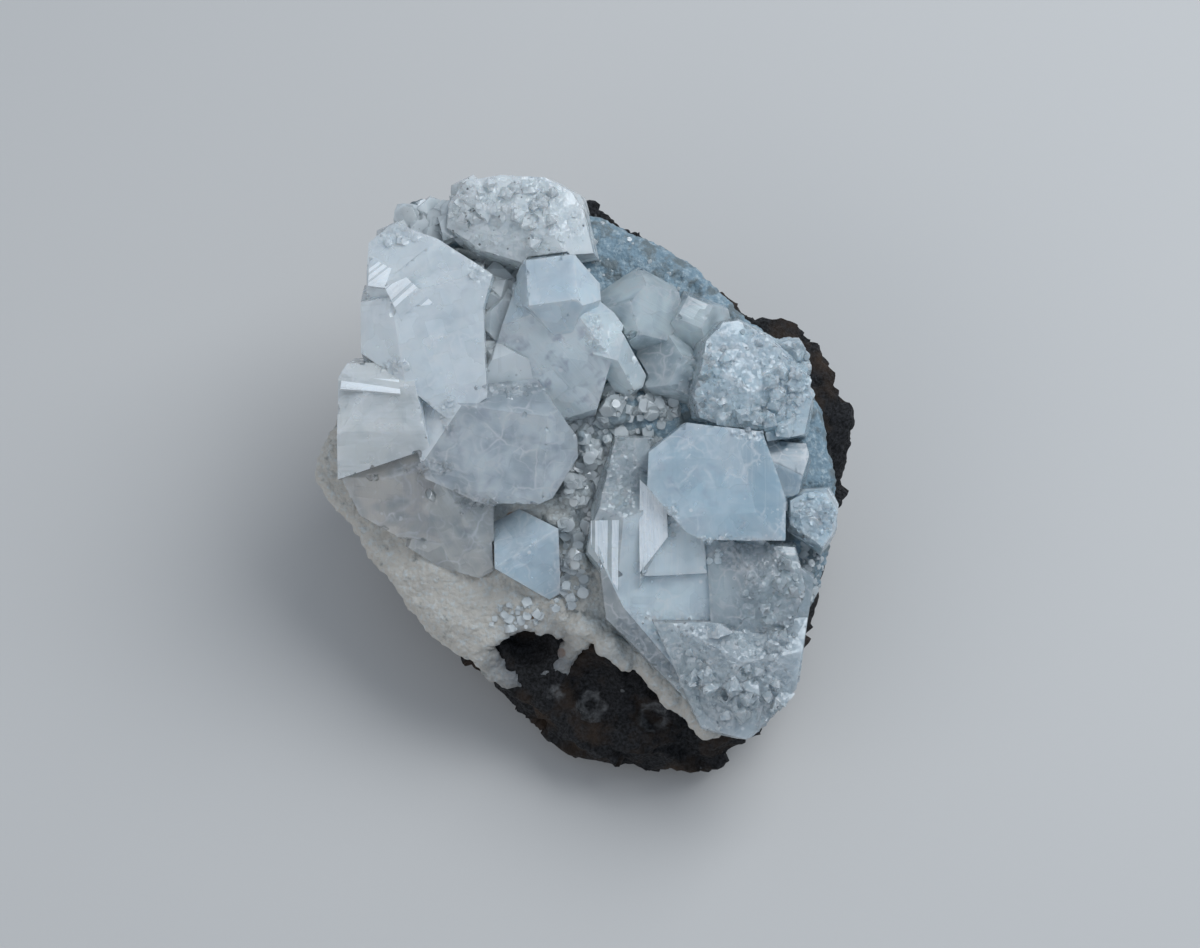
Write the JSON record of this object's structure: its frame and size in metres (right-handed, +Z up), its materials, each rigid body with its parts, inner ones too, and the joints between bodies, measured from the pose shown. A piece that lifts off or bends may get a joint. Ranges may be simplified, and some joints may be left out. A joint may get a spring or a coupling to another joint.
{
  "type": "apophyllite specimen",
  "caption": "Hand-size mineral specimen: pale blue-white glassy blocky crystals and sparkling druse on a chalky rind over a dark basalt base, resting on its broken flat underside.",
  "frame": {"origin": "middle of the bounding box at the resting face", "axes": "+Z up from the resting face, +X to the right and -Y towards the viewer, the side that the crystal face leans towards"},
  "size_m": [0.0766, 0.0754, 0.0562],
  "materials": {
    "basalt": "rough, near black with brown and grey specks",
    "rind": "chalky to sugary, blue-white with cream and grey areas",
    "left_crystal": "glassy to pearly, cloudy inside",
    "right_crystal": "glassy, pearly and finely striated, cloudy inside",
    "back_crystal": "glassy, translucent",
    "summit_crystal": "sugary druse with dark specks",
    "blue_crystal": "satin to glassy, pale blue",
    "edge_crystal": "sparkling, pale blue"
  },
  "bodies": {
    "root": {"basalt_matrix": "basalt", "drusy_rind": "rind", "left_crystals": "left_crystal", "right_crystals": "right_crystal", "back_crystals": "back_crystal", "summit_crystals": "summit_crystal", "small_blue_crystal": "blue_crystal", "edge_crystal": "edge_crystal"}
  },
  "joints": []
}
